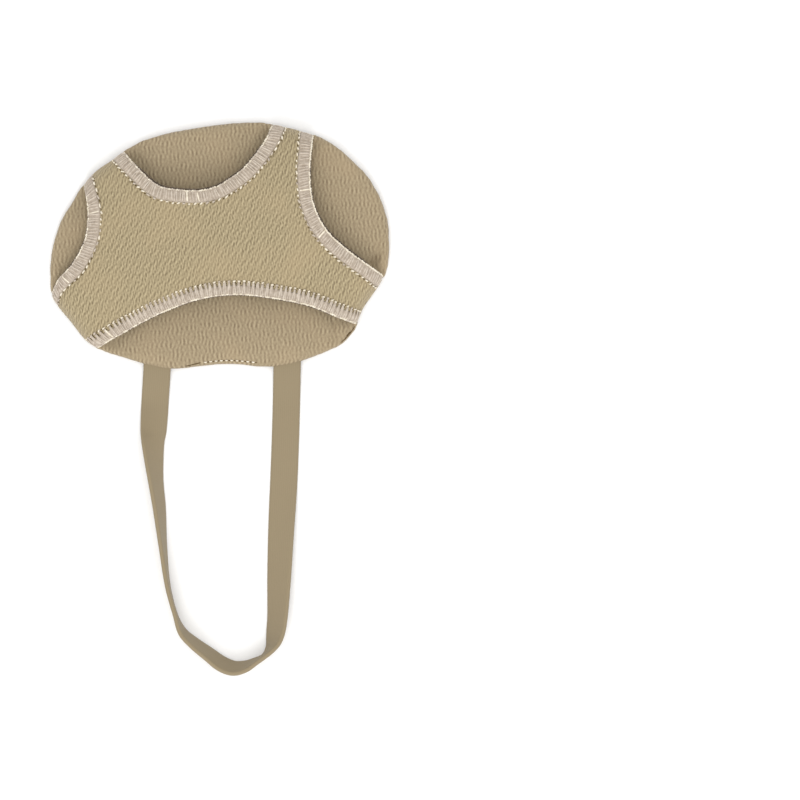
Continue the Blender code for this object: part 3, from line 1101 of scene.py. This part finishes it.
def make_closing_seam(pad, thread_material, hole_material):
    """A short row of pale stitches with dark needle gaps between them, and a dark tail on its left; the
    gaps and the open rim seam are painted shade, and the tail has the same dark colour.
    """
    stitches, gaps = bmesh.new(), bmesh.new()

    def on_top(x, inset, lift, y=SEAM_ALONG):
        spot = rim_point(turn_of((x, y)), inset - RIM_PUFF)
        _, place, out, _ = pad.ray_cast(Vector((spot.x, spot.y, 20)) * MM, Vector((0, 0, -1)))
        return place / MM + out * lift, out

    at = SEAM_STITCHES[0]
    while at < SEAM_STITCHES[1]:
        arc = ((-1, 0), (-0.5, 0.16), (0.5, 0.16), (1, 0))
        points = [on_top(at + share * 0.42, SEAM_INSET, lift) for share, lift in arc]
        thread(stitches, points, 0.24)
        middle = at + SEAM_PITCH / 2
        points = [on_top(middle + share * 0.30, SEAM_INSET - 0.1, 0.02) for share in (-1, -0.4, 0.4, 1)]
        thread(gaps, points, 0.24, flat=0.4)
        at += SEAM_PITCH
    for start, end in SEAM_TAIL:
        rise = (start - SEAM_TAIL[0][0]) * 0.12
        points = []
        for step in range(6):
            inset = SEAM_INSET - 0.55 + rise + step * 0.05
            points.append(on_top(start + (end - start) * step / 5, inset, 0.03))
        thread(gaps, points, 0.2, flat=0.5)
    for row in OPENED_RIM:
        points = []
        for step in range(9):
            spot = rim_point(row.start + (row.end - row.start) * step / 8, row.inset)
            points.append(on_top(spot.x, row.inset + RIM_PUFF, 0.02, spot.y))
        thread(gaps, points, row.width, flat=0.5)
    for build in (stitches, gaps):
        close_up(build)
    settle(piece("closing_seam_stitches", stitches, thread_material), "ribbed_knit")
    settle(piece("closing_seam_gaps", gaps, hole_material), "ribbed_knit")


# The heel strap


def strap_rows():
    """Rows of plan place and lean along the strap, from inside one end's seat to inside the other."""
    left, right = rim_point(STRAP_LEFT_TURN), rim_point(STRAP_RIGHT_TURN)
    middle = (left + right) / 2
    half = (right.x - left.x) / 2
    rows = [(left.x, left.y + STRAP_SEAT, 0.0), (left.x, left.y, 0.0)]
    for bend in STRAP_BENDS:
        rows.append((middle.x + bend.across * half, middle.y - bend.along * STRAP_REACH, bend.lean))
    rows += [(right.x, right.y, 0.0), (right.x, right.y + STRAP_SEAT, 0.0)]
    return rows


def make_strap(material):
    rows = strap_rows()
    marks = lengths_along(rows)
    whole = marks[-1]
    seat_lift = (RIM_THICKNESS - STRAP_THICKNESS) / 2
    flat, half = STRAP_WIDTH / 2, STRAP_THICKNESS / 2
    section = []
    for side in (1, -1):
        for angle in range(-80, 81, 40):
            turn = math.radians(angle)
            section.append((side * (flat - 0.35 + 0.35 * math.cos(turn)), side * half * math.sin(turn)))
        for share in (0.75, 0.5, 0.25, 0.0, -0.25, -0.5, -0.75):
            section.append((side * flat * share, side * half))
    girth = lengths_along(section + section[:1])
    steps = 260

    def place(round_share, along_share):
        across, through = section[round(round_share * len(section)) % len(section)]
        at = whole * along_share
        x, y, lean = follow(marks, rows, at)
        ahead = follow(marks, rows, min(at + 0.05, whole))
        behind = follow(marks, rows, max(at - 0.05, 0.0))
        forward = Vector((ahead[0] - behind[0], ahead[1] - behind[1], 0.0)).normalized()
        outward = Vector((forward.y, -forward.x, 0.0))
        lean = math.radians(max(lean, 0.0))
        up = Vector((0.0, 0.0, 1.0))
        wide = outward * math.cos(lean) + up * math.sin(lean)
        thick = up * math.cos(lean) - outward * math.sin(lean)
        lift = seat_lift * (1 - ease((min(at, whole - at) - STRAP_SEAT) / STRAP_DESCENT))
        height = lift + flat * math.sin(lean) + half * math.cos(lean)
        return Vector((x, y, height)) + wide * across + thick * through

    def chart(round_share, along_share):
        return girth[round(round_share * len(section))], whole * along_share

    build = bmesh.new()
    grid_over(build, len(section), steps, place, chart)
    close_up(build)
    strap = piece("woven_heel_strap", build, material)
    settle(strap, "woven_elastic", "heel_strap")


# Studio


def make_studio():
    build = bmesh.new()
    bmesh.ops.create_grid(build, x_segments=1, y_segments=1, size=2.5)
    floor = piece("floor", build, pale_floor())
    world = bpy.data.worlds.new("studio")
    bpy.context.scene.world = world
    world.use_nodes = True
    sky = world.node_tree.nodes["Background"]
    sky.inputs["Color"].default_value = (1.0, 1.0, 1.0, 1.0)
    sky.inputs["Strength"].default_value = 1.0
    for name, place, size, power in (
        ("overhead", (0.05, -0.10, 1.15), 0.9, 3.0),
        ("key", (-0.10, -0.75, 0.80), 0.5, 3.4),
    ):
        lamp = bpy.data.lights.new(name, "AREA")
        lamp.shape = "DISK"
        lamp.size = size
        lamp.energy = power
        made = bpy.data.objects.new(name, lamp)
        made.location = place
        made.rotation_euler = (-Vector(place)).to_track_quat("-Z", "Y").to_euler()
        made.visible_camera = False
        bpy.context.scene.collection.objects.link(made)
    lens = bpy.data.cameras.new("camera")
    camera = bpy.data.objects.new("camera", lens)
    lens.sensor_width = SENSOR_WIDTH
    lens.lens = FOCAL_LENGTH
    camera.location = (CAMERA_ACROSS * MM, CAMERA_ALONG * MM, CAMERA_UP * MM)
    bpy.context.scene.collection.objects.link(camera)
    bpy.context.scene.camera = camera
    bpy.context.scene.view_settings.view_transform = "Standard"


def main():
    knit = ribbed_knit()
    band_knit = stretch_knit()
    yarns = Yarns(
        # Dense threads darker than the raised ones: painted shade between the threads
        overlock_thread("overlock_thread_dense", "9A8C7C", "B0A393"),
        overlock_thread("overlock_thread_raised", "AA9C8B", "C6BAAB"),
        # The pale needle thread, also the painted highlight on the loops of the cut edges
        overlock_thread("needle_thread", "CFC3AD", "EDE4D2"),
        # Painted shade in the needle holes, the seam's gaps and its open rim
        painted_gap_shade(),
        # Painted contact shadow: the dark line under each cut edge
        overlock_thread("overlock_thread_lower", "3C2E1E", "5E4C38"),
    )
    pad = make_pad(knit)
    make_closing_seam(pad, yarns.bright, yarns.holes)
    band = make_band(band_knit)
    trims = []
    for cut in CUTS:
        trims += make_edging(cut, yarns)
    surface = sum(face.area for face in band.data.polygons) / 2
    print("band cloth area", round(surface * 1e6), "mm2")
    make_strap(woven_elastic())
    make_studio()


main()
